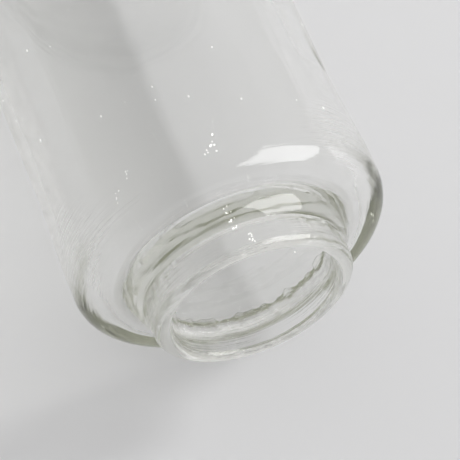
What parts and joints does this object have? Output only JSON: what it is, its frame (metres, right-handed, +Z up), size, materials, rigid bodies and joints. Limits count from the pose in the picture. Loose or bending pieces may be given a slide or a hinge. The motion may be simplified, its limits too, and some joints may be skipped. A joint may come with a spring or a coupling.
{
  "type": "lidded glass canister",
  "caption": "Thick clear glass storage canister with a straight wall, a rounded lower corner, a foot ring under a pushed-up base and a knobbed lid with a soft seal.",
  "frame": {"origin": "centre of the flat ring that the jar stands on", "axes": "+Z up along the jar's axis, towards the lid and its knob"},
  "size_m": [0.096, 0.096, 0.2249],
  "materials": {
    "jar_glass": "clear hand-blown glass with a faint olive tint and seed bubbles",
    "lid_glass": "clear hand-blown glass with a faint olive tint and seed bubbles",
    "seal": "translucent soft silicone, satin"
  },
  "bodies": {
    "jar": {"glass_jar": "jar_glass"},
    "seal": {"seal_ring": "seal"},
    "lid": {"glass_lid": "lid_glass"}
  },
  "joints": [
    {"name": "lid_lift", "type": "slide", "parent": "jar", "child": "seal", "axis": [0, 0, 1], "range_m": [0, 0.06]},
    {"name": "lid_turn", "type": "hinge", "parent": "seal", "child": "lid", "pos_m": [0, 0, 0.185], "axis": [0, 0, 1], "continuous": true}
  ]
}
